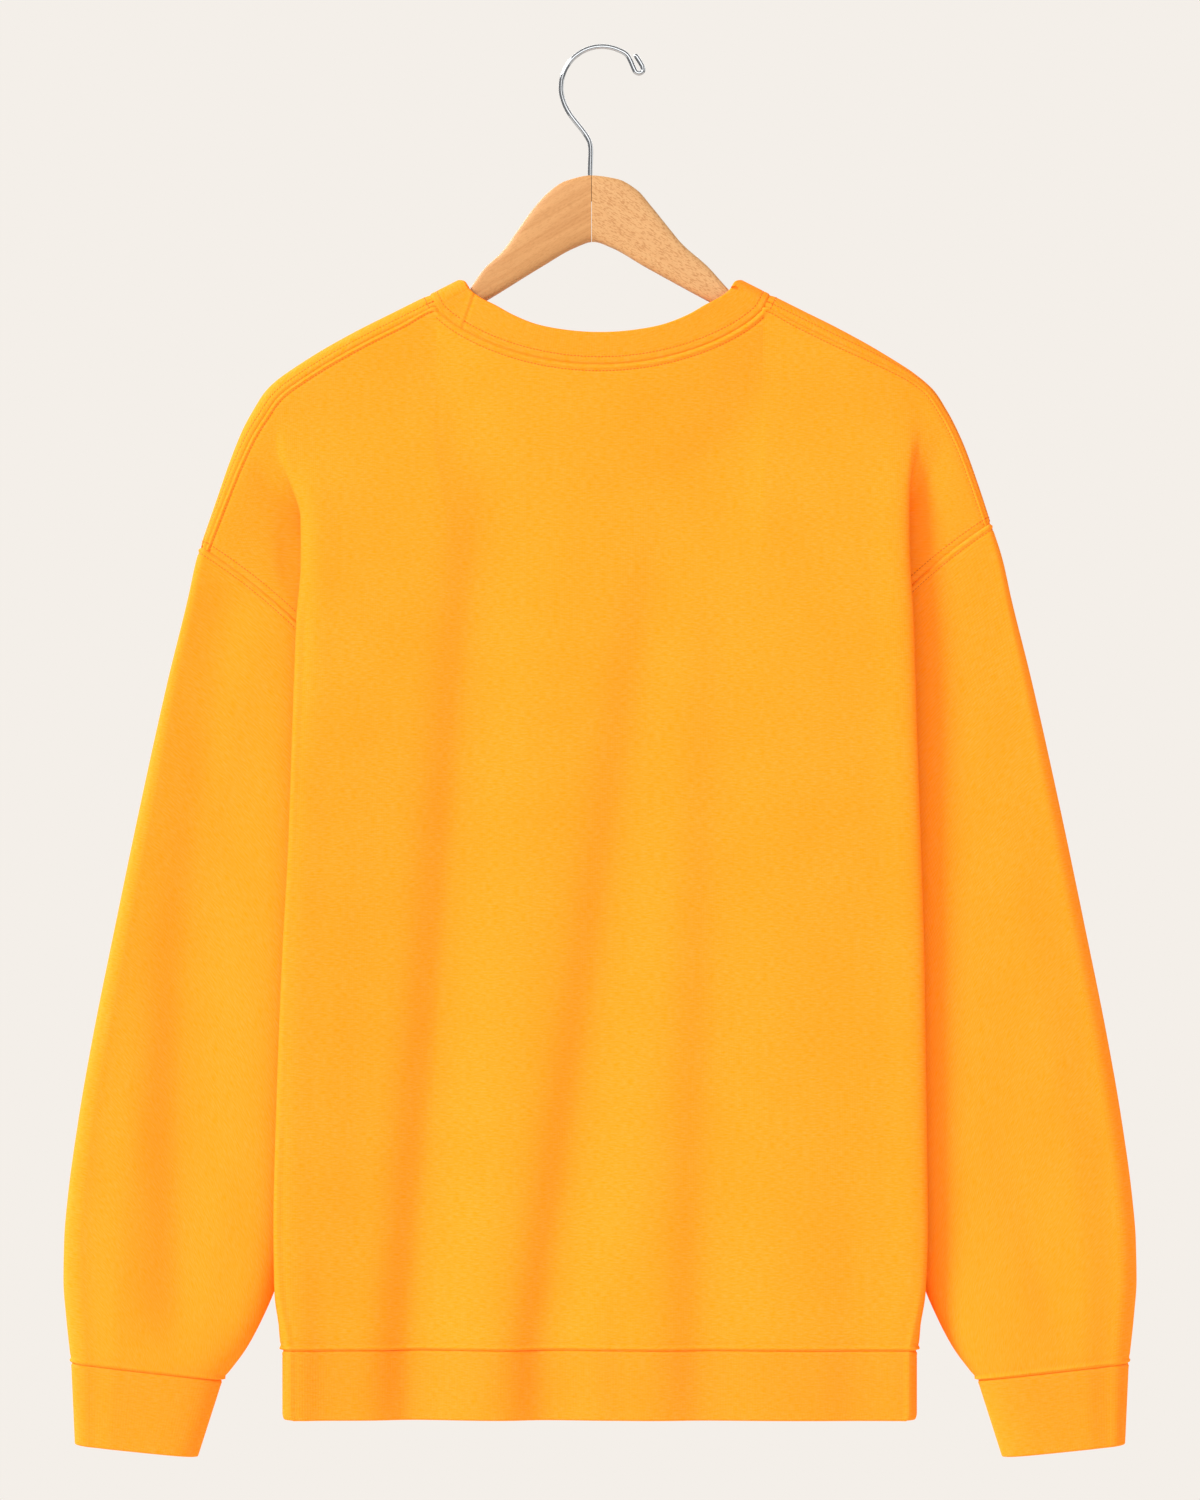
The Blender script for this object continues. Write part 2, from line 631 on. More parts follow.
@dataclass
class BodyPanel:
    """The back or the front of the body, with its share of the side folds.

    The front also carries the roll over both shoulders, as rows above its main part.
    """

    hang: Hang
    face: Face
    name: str
    thickness: float = 2.2
    rows: int = 20
    armhole_rows: int = 9
    neck_steps: int = 14
    roll_rows: int = 20
    # Share of the way down over which a column leaves the shoulder or the neck
    ease: float = 0.13
    # Below the neck the middle fills out over this length, in millimetres, and in from its ends
    # over this many steps
    neck_ease: float = 190.0
    neck_beside: int = 5
    # Shares of the way from the armhole to the valley, and the rows that turn into the pocket
    cap_share = {"cap_outer": 0.36, "cap_inner": 0.7}
    pocket_rows: float = 1.5
    # The troughs beside the flaps start at this row and reach their depth over these rows
    trough_row: float = 1.2
    trough_rows: float = 2.0

    # Columns from the armhole to the neck: name, place on the shoulder, steps to the next
    columns = [
        ("armhole", 1.0, 9), ("cap_outer", 0.87, 7), ("cap_inner", 0.75, 6), ("valley_near", 0.66, 2),
        ("valley", 0.63, 2), ("valley_far", 0.6, 4), ("under", 0.57, 4), ("turn3", 0.545, 3),
        ("turn2", 0.52, 3), ("turn1", 0.495, 3), ("turn0", 0.47, 7), ("shoulder3", 0.35, 7),
        ("shoulder2", 0.23, 7), ("shoulder1", 0.11, 7), ("neck", 0.0, 0),
    ]
    armhole_steps = (0, 0.07, 0.17, 0.29, 0.42, 0.55, 0.68, 0.8, 0.92, 1)

    def row_places(self) -> np.ndarray:
        """Return the rows' places from 0 to the number of rows, close together at both seams."""
        top = [0, 0.03, 0.06, 0.09, 0.12, 0.16, 0.2, 0.26, 0.34, 0.44]
        middle = np.arange(0.55, 19.6, 0.125)
        end = [19.68, 19.76, 19.82, 19.86, 19.89, 19.915, 19.94, 19.96, 19.98, 20.0]
        return np.concatenate([top, middle, end])

    def roll_places(self) -> np.ndarray:
        """Return the extra rows' shares of the roll, 0 at the shoulder seam, without the last at 1."""
        if self.face is Face.BACK:
            return np.zeros(0)
        share = np.linspace(0, 1, self.roll_rows, endpoint=False)
        return share**1.2

    def top_angle(self, hand: Hand, along: float) -> float:
        """Return where on the roll the panel's main part starts."""
        return float(self.hang.seam_angle(hand, along)) if self.face is Face.BACK else math.pi / 2

    def side_column(self, hand: Hand, index: int, row: np.ndarray) -> np.ndarray:
        """Return one column of a side.

        Args:
            hand: the side.
            index: the column's place in the list of columns.
            row: places of the rows.

        Returns:
            (rows, 3) points.
        """
        hang, sign = self.hang, self.face.value
        name, along, _ = self.columns[index]
        top = hang.roll(hand, along, self.top_angle(hand, along))
        down = row / self.rows
        if name == "armhole":
            steps = np.interp(row, range(len(self.armhole_steps)), self.armhole_steps)
            below = (row - self.armhole_rows) / (self.rows - self.armhole_rows)
            z = mix(hang.armpit[1], hang.hem_seam, below)
            half, _ = hang.fold(hand, name, z)
            seam = np.stack([hand.value * half, 0 * z, z], -1)
            return np.where((row <= self.armhole_rows)[:, None], hang.armhole(hand, self.face, steps), seam)
        if name.startswith("cap"):
            return self.cap_column(hand, index, row, top)
        z = mix(top[2], hang.hem_seam, down)
        top_half = top[0] * hand.value
        if index <= TURN_COLUMN:
            half, depth = hang.fold(hand, name, z)
            depth = depth - hang.dip_table.read(hand.name.lower(), z) * hang.dip_shares.get(name, 0.0)
        else:
            turn = self.columns[TURN_COLUMN][1]
            turn_top = hang.roll(hand, turn, self.top_angle(hand, turn))
            half = hang.fold(hand, "turn0", z)[0] * top_half / (turn_top[0] * hand.value)
            depth = hang.depth_table.read("depth", z)
        share = smooth(down / self.ease)
        x = hand.value * mix(top_half, half, share)
        return np.stack([x, sign * mix(abs(top[1]), depth, share), z], -1)

    def cap_column(self, hand: Hand, index: int, row: np.ndarray, top: np.ndarray) -> np.ndarray:
        """Return a column between the armhole and the valley of the side fold."""
        name = self.columns[index][0]
        share = self.cap_share[name]
        outer, inner = self.side_column(hand, 0, row), self.side_column(hand, 3, row)
        start = np.zeros(1)
        lift = top - mix(self.side_column(hand, 0, start)[0], self.side_column(hand, 3, start)[0], share)
        points = mix(outer, inner, share) + lift * ((1 - row / self.rows) ** 4)[:, None]
        half, depth = self.hang.fold(hand, name, points[:, 2])
        pocket = np.stack([hand.value * half, self.face.value * depth, points[:, 2]], -1)
        turned = smooth((row - self.armhole_rows + self.pocket_rows) / self.pocket_rows)
        return mix(points, pocket, turned[:, None])

    def middle_column(self, step: int, row: np.ndarray) -> np.ndarray:
        """Return one column between the two ends of the neck."""
        hang = self.hang
        top = hang.neck(self.face, step / self.neck_steps)
        down = row / self.rows
        z = mix(top[2], hang.hem_seam, down)
        hand = Hand.LEFT if top[0] < 0 else Hand.RIGHT
        along = self.columns[TURN_COLUMN][1]
        turn_top = hang.roll(hand, along, self.top_angle(hand, along))
        edge = hang.fold(hand, "turn0", z)[0]
        x = mix(top[0], top[0] * edge / (turn_top[0] * hand.value), smooth(down / self.ease))
        full = hang.depth_table.read("depth", z)
        # Beside the neck's ends the cloth leaves the seam as it does on the shoulders
        middle = mix(abs(top[1]), np.maximum(full, abs(top[1])), smooth((top[2] - z) / self.neck_ease))
        beside = mix(abs(top[1]), full, smooth(down / self.ease))
        depth = mix(beside, middle, smooth(min(step, self.neck_steps - step) / self.neck_beside))
        return np.stack([x, self.face.value * depth, z], -1)

    def roll_knots(self, share: np.ndarray) -> np.ndarray:
        """Return the knots of the rows over the shoulders.

        Args:
            share: of the roll, from the shoulder seam at 0 to the front at 1.

        Returns:
            (rows, knots, 3) points; those between the neck's ends only guide the curve.
        """
        hang = self.hang
        sides = {}
        for hand in Hand:
            columns = []
            for _, along, _ in self.columns:
                angle = mix(float(hang.seam_angle(hand, along)), math.pi / 2, share)
                columns.append(hang.roll(hand, along, angle))
            sides[hand] = columns
        middle = []
        for step in range(1, self.neck_steps):
            place = step / self.neck_steps
            back, front = hang.neck(Face.BACK, place), hang.neck(Face.FRONT, place)
            middle.append(mix(back, front, share[:, None]))
        return np.stack(sides[Hand.LEFT] + middle + sides[Hand.RIGHT][::-1], axis=1)

    def sheet(self) -> np.ndarray:
        """Return the panel's outer points with its soft folds, from the left armhole to the right."""
        row, over = self.row_places(), self.roll_places()
        count = len(self.columns)
        left = [self.side_column(Hand.LEFT, k, row) for k in range(count)]
        right = [self.side_column(Hand.RIGHT, k, row) for k in reversed(range(count))]
        middle = [self.middle_column(step, row) for step in range(1, self.neck_steps)]
        steps = self.side_steps()
        knots = np.stack(left + middle + right, axis=1)
        row = np.concatenate([np.zeros(len(over)), row])
        if len(over):
            knots = np.concatenate([self.roll_knots(over), knots])
        mirrored = knots[:, 1] * np.array([1, -1, 1])
        before = np.where((row >= self.armhole_rows)[:, None], mirrored, 2 * knots[:, 0] - knots[:, 1])
        grid = spline(knots, steps + [NECK_FILL] * self.neck_steps + steps[::-1], before)
        if len(over):
            # Over the shoulders each side's curve ends at the neck, with nothing beyond it
            side = sum(steps) + 1
            grid[: len(over), :side] = spline(knots[: len(over), :count], steps, before[: len(over)])
            mirror = 2 * knots[: len(over), -1] - knots[: len(over), -2]
            grid[: len(over), -side:] = spline(knots[: len(over), : -count - 1 : -1], steps, mirror)[:, ::-1]
        far = sum(steps[:TURN_COLUMN])
        main = slice(far, grid.shape[1] - far)
        reach = smooth(row / self.rows / self.ease)[:, None]
        inset = self.hang.inset(self.face, grid[:, main, 0], grid[:, main, 2]) * reach
        grid[:, main, 1] -= self.face.value * inset
        cap = sum(steps[:2])
        away = smooth(np.minimum(np.arange(grid.shape[1]), np.arange(grid.shape[1])[::-1]) / cap)
        below = smooth((row - self.trough_row) / self.trough_rows)[:, None]
        beside = self.hang.inset(self.face, grid[..., 0], grid[..., 2], beside=True)
        grid[..., 1] -= self.face.value * beside * away * below
        return grid

    def side_steps(self) -> list[int]:
        """Return the steps of the side columns, armhole to neck."""
        return [entry[2] for entry in self.columns[:-1]]

    def lines(
        self, rows: np.ndarray, columns: np.ndarray, down: int, across: int
    ) -> tuple[np.ndarray, np.ndarray]:
        """Return grid lines that start at rim points and run down or across."""
        run = np.arange(LINE_POINTS)
        return rows[:, None] + down * run, columns[:, None] + across * run

    def seams(self) -> dict[str, tuple[Relief, tuple[np.ndarray, np.ndarray]]]:
        """Return the panel's seams with the grid lines that cross them."""
        over = len(self.roll_places())
        height = over + len(self.row_places())
        side = sum(self.side_steps())
        width = 2 * side + NECK_FILL * self.neck_steps + 1
        right = width - 1 - side
        at = np.arange
        full = np.full
        armhole = at(0, over + int(np.searchsorted(self.row_places(), self.armhole_rows)) + 1)
        out = {
            "shoulder_left": self.lines(full(side + 1, 0), at(0, side + 1), 1, 0),
            "shoulder_right": self.lines(full(side + 1, 0), at(right, width), 1, 0),
            "neck": self.lines(full(right - side + 1, over), at(side, right + 1), 1, 0),
            "armhole_left": self.lines(armhole, full(len(armhole), 0), 0, 1),
            "armhole_right": self.lines(armhole, full(len(armhole), width - 1), 0, -1),
            "hem": self.lines(full(width, height - 1), at(width), -1, 0),
        }
        if over:
            out["neck_left"] = self.lines(at(over + 1), full(over + 1, side), 0, -1)
            out["neck_right"] = self.lines(at(over + 1), full(over + 1, right), 0, 1)
        return out

    def cloth(self) -> Cloth:
        """Return the panel as sewn cloth."""
        grid = self.sheet()
        over = len(self.roll_places())
        steps = np.linalg.norm(np.diff(grid, axis=1, prepend=grid[:, :1]), axis=2)
        across = np.cumsum(steps, axis=1)
        across -= across[:, across.shape[1] // 2, None]
        uv = np.stack([across, grid[..., 2]], -1) * MM
        uv[:over, :, 1] = uv[over, :, 1] + np.linalg.norm(grid[:over] - grid[over], axis=-1) * MM
        cloth = Cloth(self.name, grid, uv, self.thickness, closed=False)
        side = sum(self.side_steps()) + 1
        if over:
            cloth.normals[:over, :side] = grid_normals(grid[: over + 1, :side], False)[:over]
            cloth.normals[:over, -side:] = grid_normals(grid[: over + 1, -side:], False)[:over]
        if self.face is Face.FRONT:
            cloth.normals = -cloth.normals
        cloth.used[:over, side - 1 : grid.shape[1] - side] = False
        looks = BACK_SEAMS if self.face is Face.BACK else FRONT_SEAMS
        for name, lines in self.seams().items():
            relief, stitch_at = looks[name.split("_")[0]]
            cloth.sew(Seam(relief, lines), stitch_at)
        if self.face is Face.FRONT:
            cloth.flip()
        return cloth


@dataclass
class Sleeve:
    """A sleeve from its armhole to its cuff, and the ribbed cuff below it."""

    hang: Hang
    hand: Hand
    thickness: float = 2.2
    rib_thickness: float = 2.8
    side_points: int = 70
    roll_points: int = 16
    first_roll: float = 6.5

    outer_table = Table("z half", [
        (-315.6, 261.3), (-342.4, 270.0), (-369.2, 276.0), (-422.8, 289.3), (-503.2, 307.2), (-583.6, 324.0),
        (-664.0, 340.2), (-717.6, 349.5), (-771.2, 356.8), (-798.0, 359.0), (-824.8, 359.5), (-848.0, 357.8),
        (-880.4, 354.3),
    ])
    inner_table = Table("z half", [
        (-529, 103.0), (-580, 122.5), (-700, 167.5), (-790, 202.5), (-831, 217.6), (-846, 224.0),
        (-870, 236.5), (-892, 253.0),
    ])
    depth_table = Table("along depth", [(0.0, 11.0), (0.35, 13.0), (0.75, 14.5), (0.92, 16.5), (1.0, 14.0)])
    cuff_outer = (351.8, -935.0)
    cuff_inner = (269.5, -943.5)
    cuff_depth: float = 13.0
    end_depth: float = 14.0

    def __post_init__(self) -> None:
        """Set out the places round the sleeve: back, front and the roll over the top."""
        even = np.linspace(0, 1, self.side_points)
        self.steps = mix(even, smooth(even), 0.45)
        self.turns = np.linspace(0, 1, self.roll_points + 2)[1:-1]

    def armhole_loop(self) -> np.ndarray:
        """Return the loop of the armhole, down the back and up the front."""
        hang, hand = self.hang, self.hand
        back = hang.armhole(hand, Face.BACK, self.steps)
        front = hang.armhole(hand, Face.FRONT, self.steps[::-1])[1:]
        angle = mix(math.pi / 2, float(hang.seam_angle(hand, 1.0)), self.turns)
        return np.concatenate([back, front, hang.roll(hand, 1.0, angle)])

    def ring(self, along: np.ndarray) -> np.ndarray:
        """Return plain rings of the sleeve.

        Args:
            along: (rows,) shares of the sleeve's length.

        Returns:
            (rows, places, 3) points.
        """
        hang, sign = self.hang, self.hand.value
        outer_z = mix(hang.sleeve_top[self.hand][1], self.outer_table.values[0, 0], along)
        inner_z = mix(hang.armpit[1], self.inner_table.values[0, 0], along)
        outer = np.stack([self.outer_table.read("half", outer_z), outer_z], -1)
        inner = np.stack([self.inner_table.read("half", inner_z), inner_z], -1)
        length = np.linalg.norm(inner - outer, axis=1)
        depth = self.depth_table.read("depth", along)[:, None]
        roll = mix(self.first_roll, depth * 0.85, smooth(along * 3)[:, None])
        first = roll / length[:, None]
        fade = smooth((1 - along) * 8)[:, None]

        def place(sine: np.ndarray, share: np.ndarray, face: Face) -> np.ndarray:
            """Return points at shares of the rings' width, raised to a share of the depth."""
            flat = outer[:, None] + (inner - outer)[:, None] * share[..., None]
            rise = mix(roll, depth, smooth((share - first) * 5)) * np.sqrt(np.clip(1 - share**8, 0, 1))
            x, z = sign * flat[..., 0], flat[..., 1]
            inset = hang.inset(face, x, z) * (1 - share**4) * fade * np.clip(np.abs(sine), 0, 1) ** 4
            return np.stack([x, sine * rise - face.value * inset, z], -1)

        shares = mix(first, 1.0, self.steps[None])
        flat_back, flat_front = -np.ones_like(shares), np.ones_like(shares)
        back = place(flat_back, shares, Face.BACK)
        front = place(flat_front, shares, Face.FRONT)[:, ::-1][:, 1:]
        angle = mix(math.pi / 2, -math.pi / 2, self.turns)[None]
        sine = np.sin(angle) * np.ones_like(first)
        round_share = first * (1 - np.cos(angle))
        over_front = place(sine, round_share, Face.FRONT)
        over_back = place(sine, round_share, Face.BACK)
        over = np.where((sine > 0)[..., None], over_front, over_back)
        return np.concatenate([back, front, over], axis=1)

    def points(self, along: np.ndarray) -> np.ndarray:
        """Return the sleeve's rings, brought onto the armhole at their start."""
        rings = self.ring(along)
        offset = self.armhole_loop() - self.ring(np.zeros(1))[0]
        return rings + offset * ((1 - along) ** 4)[:, None, None]

    def finish_tube(self, name: str, grid: np.ndarray, thickness: float) -> Cloth:
        """Return a tube of cloth with flat places measured along it, facing outward."""
        looped = np.concatenate([grid, grid[:, :1]], axis=1)
        middle = looped[len(grid) // 2]
        around = run_along(middle)
        down = np.cumsum(np.linalg.norm(np.diff(looped, axis=0, prepend=looped[:1]), axis=2), axis=0)
        uv = np.stack([np.broadcast_to(around, looped.shape[:2]), -down], -1) * MM
        cloth = Cloth(name, grid, uv, thickness, closed=True)
        if self.hand is Hand.RIGHT:
            cloth.normals = -cloth.normals
        return cloth

    def sleeve(self) -> Cloth:
        """Return the fleece sleeve as sewn cloth."""
        top = [0, 0.0015, 0.003, 0.005, 0.007, 0.0095, 0.0125, 0.016, 0.021, 0.027]
        end = [0.985, 0.988, 0.991, 0.9935, 0.9955, 0.9975, 1.0]
        along = spaced(top, (0.035, 0.981, 130), end)
        cloth = self.finish_tube(f"Sleeve_{self.hand.name.title()}", self.points(along), self.thickness)
        down = loop_lines(cloth.grid.shape[1])
        up = (len(along) - 1 - down[0], down[1])
        cloth.sew(Seam(ARMHOLE_RAISED, close_loop(down)), STITCH_ARMHOLE)
        cloth.sew(Seam(BAND_RAISED, close_loop(up)), None)
        if self.hand is Hand.RIGHT:
            cloth.flip()
        return cloth

    def cuff(self) -> Cloth:
        """Return the ribbed cuff, folded double at its lower edge."""
        down = spaced([0, 0.015, 0.03, 0.05], (0.08, 0.94, 22), BAND_END)
        start = self.points(np.ones(1))[0]
        inner_half, outer_half = self.inner_table.values[0, 1], self.outer_table.values[0, 1]
        across = (np.abs(start[:, 0]) - inner_half) / (outer_half - inner_half)
        end_half = mix(self.cuff_inner[0], self.cuff_outer[0], across)
        end_z = mix(self.cuff_inner[1], self.cuff_outer[1], across)
        down = down[:, None]
        half = mix(np.abs(start[:, 0]), end_half, down)
        y = start[:, 1] * mix(1, self.cuff_depth / self.end_depth, smooth(down * 2))
        grid = np.stack([self.hand.value * half, y, mix(start[:, 2], end_z, down)], -1)
        cloth = self.finish_tube(f"Cuff_{self.hand.name.title()}", grid, self.rib_thickness)
        cloth.sew(Seam(BAND_PLAIN, close_loop(loop_lines(grid.shape[1]))), None)
        cloth.round_edge(np.linalg.norm(grid - grid[-1], axis=2))
        if self.hand is Hand.RIGHT:
            cloth.flip()
        return cloth


@dataclass
class HemBand:
    """The ribbed hem below the body, folded double at its lower edge."""

    hang: Hang
    thickness: float = 2.8
    taper: float = 0.95
    corner: float = 5.0
    corner_in: float = 1.6
    corner_reach: float = 26.0

    def cloth(self, back: np.ndarray, front: np.ndarray) -> Cloth:
        """Return the band as sewn cloth.

        Args:
            back: the back panel's points at the hem seam, left to right.
            front: the front panel's points there, left to right.

        Returns:
            The band.
        """
        loop = np.concatenate([back, front[::-1][1:-1]])
        down = spaced([0, 0.012, 0.026, 0.042, 0.06], (0.085, 0.94, 30), BAND_END)
        down = down[:, None]
        z = mix(self.hang.hem_seam, self.hang.hem_bottom, down) + 0 * loop[:, 0]
        above = z - self.hang.hem_bottom
        half = np.abs(loop[:, 0]).max()
        nearness = smooth((np.abs(loop[:, 0]) - half + self.corner_reach) / self.corner_reach)
        tuck = self.corner_in * nearness * np.clip(1 - above / self.corner, 0, 1) ** 2
        x = loop[:, 0] - np.sign(loop[:, 0]) * tuck
        y = loop[:, 1] * mix(1, self.taper, smooth(down))
        grid = np.stack([x, y, z], -1)
        around = run_along(np.concatenate([loop, loop[:1]]))
        height = self.hang.hem_bottom - self.hang.hem_seam
        uv = np.stack(np.broadcast_arrays(around, down * height), -1) * MM
        cloth = Cloth("Hem_Band", grid, uv, self.thickness, closed=True)
        cloth.sew(Seam(BAND_PLAIN, close_loop(loop_lines(len(loop)))), None)
        cloth.round_edge(above)
        return cloth


@dataclass
class Collar:
    """The ribbed neck band, which stands inward from the neck seam."""

    hang: Hang
    thickness: float = 2.8
    width: float = 22.0
    lean: float = 0.1
    half_width: float = 110.0
    end_turn: float = 0.7
    end_stretch: float = 3.8
    centre: float = 0.8
    roll_steps: int = 4
    neck_steps: int = 14
    fill: int = 14
    # How far from the middle the ends start to turn and to widen, and over what length
    turn_from: float = 60.0
    turn_over: float = 50.0
    widen_from: float = 50.0
    widen_over: float = 45.0
    # Depth over which the back counts as behind, and how much less the band leans at its ends
    behind_depth: float = 9.0
    less_lean: float = 0.8
    stitch_at: float = 5.2
    join: tuple[tuple[float, float], tuple[float, float]] = ((-83.0, -163.0), (-91.5, -187.0))
    join_reach: float = 30.0

    def coarse_loop(self, steps: int, rolls: int) -> np.ndarray:
        """Return the neck seam as a loop: back, over the right shoulder, front, over the left."""
        hang = self.hang
        share = np.linspace(0, 1, steps + 1)
        back, front = hang.neck(Face.BACK, share), hang.neck(Face.FRONT, share)[::-1]
        over = {}
        for hand in Hand:
            start = float(hang.seam_angle(hand, 0.0))
            angles = [start, start / 2, 0, math.pi / 4, math.pi / 2]
            angle = np.interp(np.linspace(0, 4, rolls + 1), range(5), angles)
            over[hand] = hang.roll(hand, 0.0, angle)
        return np.concatenate([back, over[Hand.RIGHT][1:], front[1:], over[Hand.LEFT][::-1][1:-1]])

    def reach(self) -> np.ndarray:
        """Return the way from the seam to the band's free edge at each coarse point of the loop."""
        steps = self.neck_steps
        loop = self.coarse_loop(steps, self.roll_steps)
        start = steps + self.roll_steps
        back, front = loop[: steps + 1], loop[start : start + steps + 1]
        along = np.concatenate([
            np.gradient(back, axis=0), np.ones((self.roll_steps - 1, 3)),
            np.gradient(front, axis=0), np.ones((self.roll_steps - 1, 3)),
        ])
        out = unit(np.stack([np.abs(along[:, 2]), 0 * along[:, 0], np.abs(along[:, 0])], -1))
        line = self.hang.ridges[Hand.LEFT][1]
        tangent = unit(line[1] - line[0]) * [1, 1, -1]
        aside = np.abs(loop[:, 0] - self.centre)
        over = np.zeros(len(loop), bool)
        over[steps + 1 : steps + self.roll_steps] = True
        over[len(loop) - self.roll_steps + 1 :] = True
        nearness = np.where(over, 1.0, self.end_turn * smooth((aside - self.turn_from) / self.turn_over))
        out = mix(out, tangent, nearness[:, None])
        out[:, 0] *= np.where(loop[:, 0] > self.centre, -1, 1)
        upright = 1 - np.minimum(1, aside / self.half_width) * self.less_lean
        out[:, 1] = -self.lean * np.sign(loop[:, 1]) * upright
        out = unit(out)
        out = unit(2 * out + np.roll(out, 1, axis=0) + np.roll(out, -1, axis=0))
        behind = smooth(-loop[:, 1] / self.behind_depth)
        widening = smooth((aside - self.widen_from) / self.widen_over)
        width = self.width + self.end_stretch * widening * behind
        return out * width[:, None]

    def cloth(self) -> Cloth:
        """Return the band as sewn cloth."""
        loop = self.coarse_loop(self.neck_steps * self.fill, self.roll_steps * self.fill)
        coarse = self.reach()
        wrapped = np.concatenate([coarse[-1:], coarse, coarse[:1]])[None]
        reach = spline(wrapped, [self.fill] * (wrapped.shape[1] - 1))[0][self.fill : self.fill + len(loop)]
        edge = [0.925, 0.945, 0.96, 0.975, 0.988, 1]
        down = spaced([0, 0.02, 0.045, 0.07, 0.1], (0.14, 0.9, 18), edge)
        grid = loop + reach * down[:, None, None]
        around = run_along(np.concatenate([loop, loop[:1]]))
        uv = np.stack(np.broadcast_arrays(around, (down * self.width)[:, None]), -1) * MM
        cloth = Cloth("Collar_Band", grid, uv, self.thickness, closed=True)
        cloth.normals = -cloth.normals
        cloth.sew(Seam(NECK_RIB, close_loop(loop_lines(len(loop)))), self.stitch_at)
        self.sew_join(cloth)
        cloth.round_edge(np.broadcast_to((1 - down)[:, None] * self.width, grid.shape[:2]))
        cloth.flip()
        return cloth

    def sew_join(self, cloth: Cloth) -> None:
        """Cut the groove of the seam that closes the band, at the left of the back."""
        (x0, z0), (x1, z1) = self.join
        run = np.array([x1 - x0, z1 - z0])
        flat = cloth.start[..., [0, 2]] - [x0, z0]
        aside = (flat[..., 0] * run[1] - flat[..., 1] * run[0]) / np.linalg.norm(run)
        here = (cloth.start[..., 1] < 0) & (np.abs(cloth.start[..., 0] - x0) < self.join_reach)
        cloth.grid = cloth.grid + cloth.normals * (BAND_JOIN.offset(aside) * here)[..., None]


@dataclass
class HangerArms:
    """The two halves of the wooden hanger, glued at a seam left of the middle."""

    thickness: float = 12.8
    squareness: float = 0.5
    sides: int = 36
    seam: float = -5.7
    seam_gap: float = 0.32
    span: float = 217.0
    station: float = 2.0
    tip_start: float = 3.2
    tip_length: float = 18.6
    hole_radius: float = 1.95
    hole_turns: int = 32
    hole_top: float = -60.0
    # How far the hole goes on below the wire's foot
    hole_below: float = 0.6
    tip_rings: int = 8
    sharp: float = math.radians(35)

    top_table = Table("x z", [
        (-217, -240), (-210, -234), (-185, -217.5), (-140, -189), (-112, -176.6), (-92, -166.2),
        (-77.7, -147.4), (-65.7, -136.0), (-53.6, -119.3), (-44.9, -107.2), (-33.5, -95.1),
        (-22.8, -88.4), (-6.0, -84.8),
        (11.4, -87.1), (24.8, -94.5), (34.8, -105.9), (45.6, -119.3), (55.6, -131.3), (71.0, -144.7),
        (91.8, -166.2), (112, -176.6), (140, -189), (185, -217.5), (210, -234), (217, -240),
    ])
    under_table = Table("x z", [
        (-220, -247), (-206, -244.5), (-180, -229.5), (-126, -197.5), (-75, -168.2), (-39, -146),
        (-17, -133.4), (-4.5, -129.3), (8, -133.4), (30, -146), (73, -169.5), (126, -197.5),
        (180, -229.5), (206, -244.5),
        (220, -247),
    ])

    def arm(self, hand: Hand, hole: bpy.types.Object) -> bpy.types.Object:
        """Make one half.

        Args:
            hand: the side.
            hole: a closed cylinder, which is cut out for the hook's stem.

        Returns:
            The arm as a mesh object.
        """
        glued = self.seam + hand.value * self.seam_gap / 2
        count = int(abs(hand.value * self.span - glued) / self.station) + 1
        tip = 1 - np.linspace(0, 1, self.tip_rings)[:-1] ** 2
        even = np.linspace(glued, hand.value * (self.span - self.station), count)
        near_tip = hand.value * (self.span - self.station * tip[1:] ** 1.5)
        x = np.concatenate([even, near_tip, [hand.value * self.span]])
        top, under = self.top_table.read("z", x), self.under_table.read("z", x)
        to_tip = self.tip_start * 0.5 + self.span - np.abs(x)
        close = np.sqrt(np.clip(to_tip / self.tip_length * 2, 0.02, 1))
        angle = 2 * np.pi * (np.arange(self.sides) + 0.5) / self.sides
        wide = np.sign(np.cos(angle)) * np.abs(np.cos(angle)) ** self.squareness
        high = np.sign(np.sin(angle)) * np.abs(np.sin(angle)) ** self.squareness
        y = self.thickness / 2 * wide * close[:, None]
        z = ((top + under) / 2)[:, None] + ((top - under) / 2 * close)[:, None] * high
        points = np.stack([np.broadcast_to(x[:, None], y.shape), y, z], -1).reshape(-1, 3) * MM
        faces = tube_faces(len(x), self.sides, hand.value < 0)
        obj = make_object(f"Hanger_Arm_{hand.name.title()}", points, faces)
        cut = obj.modifiers.new("stem hole", "BOOLEAN")
        cut.object, cut.operation, cut.solver = hole, "DIFFERENCE", "EXACT"
        whole = obj.evaluated_get(bpy.context.evaluated_depsgraph_get())
        mesh = bpy.data.meshes.new_from_object(whole)
        obj.modifiers.clear()
        obj.data = mesh
        mesh.set_sharp_from_angle(angle=self.sharp)
        return obj

    def build(self, hook: "Hook") -> dict[Hand, bpy.types.Object]:
        """Make both halves, with the hole for the hook's stem."""
        turns, low, high = self.hole_turns, hook.foot - self.hole_below, self.hole_top
        angle = 2 * np.pi * np.arange(turns) / turns
        across, deep = self.hole_radius * np.cos(angle), self.hole_radius * np.sin(angle)
        ring = np.stack([hook.stem + across, deep, 0 * angle], -1)
        points = np.concatenate([ring + [0, 0, low], ring + [0, 0, high]]) * MM
        hole = make_object("Stem_Hole", points, tube_faces(2, turns, False))
        arms = {hand: self.arm(hand, hole) for hand in Hand}
        bpy.data.objects.remove(hole)
        return arms


